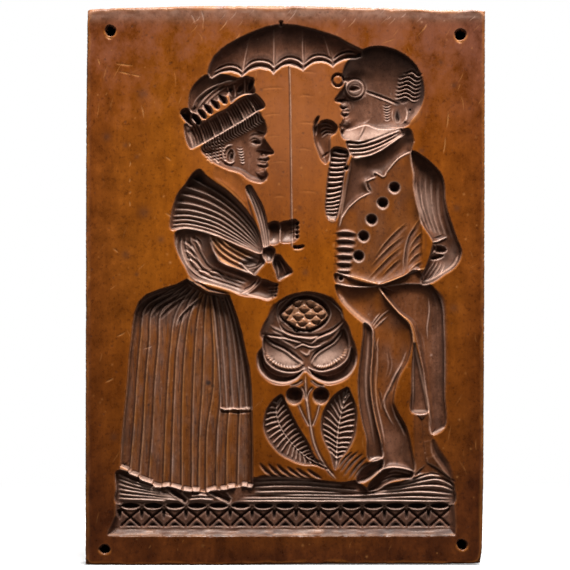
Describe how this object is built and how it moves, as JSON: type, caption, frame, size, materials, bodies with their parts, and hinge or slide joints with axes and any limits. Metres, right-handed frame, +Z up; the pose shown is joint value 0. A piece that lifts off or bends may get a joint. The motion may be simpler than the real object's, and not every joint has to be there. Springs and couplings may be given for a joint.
{
  "type": "wooden mould",
  "caption": "Hand-carved wooden mould: a thick plank with a couple under an umbrella, a rose and a chip-carved border cut into its face.",
  "frame": {"origin": "middle of the bottom edge of the standing board, halfway through its thickness", "axes": "+Z up along the board's long side, -Y out of the carved face, +X to the right of someone who looks at the carving"},
  "size_m": [0.28, 0.036, 0.3918],
  "materials": {
    "wood": "waxed hardwood with an old amber-brown patina, darker in the hollows"
  },
  "bodies": {
    "root": {"mould_board": "wood"}
  },
  "joints": []
}
